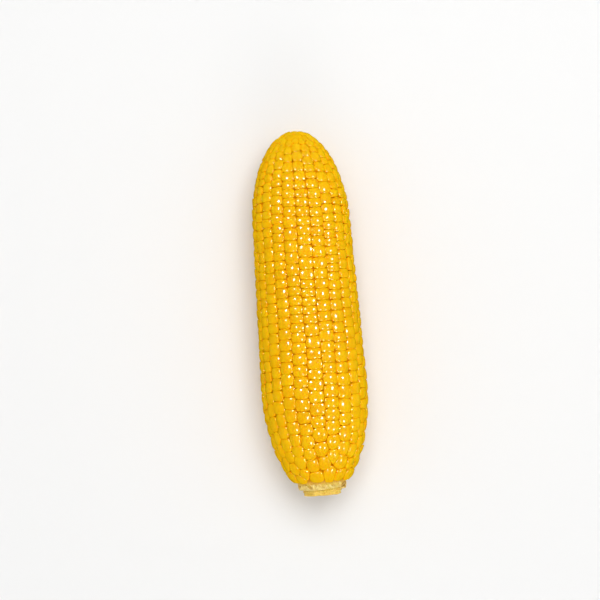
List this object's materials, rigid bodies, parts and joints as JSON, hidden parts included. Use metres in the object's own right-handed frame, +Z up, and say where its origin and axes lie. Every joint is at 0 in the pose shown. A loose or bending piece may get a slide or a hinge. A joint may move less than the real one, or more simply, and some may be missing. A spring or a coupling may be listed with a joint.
{
  "type": "corn cob",
  "caption": "Shucked ear of cooked sweet corn with a short cut shank, lying on its side, with plump golden kernels in lengthwise rows from the butt to the rounded tip.",
  "frame": {"origin": "On the surface that the ear lies on, under the middle of its bounding box in X and Y.", "axes": "+Z up. +Y runs along the ear towards its tip, and the cut shank is at the -Y end. +X is to the right, seen from above with the tip up."},
  "size_m": [0.0498, 0.1702, 0.0498],
  "materials": {
    "kernels": "gloss"
  },
  "bodies": {
    "root": {"corn_ear": "kernels"}
  },
  "joints": []
}
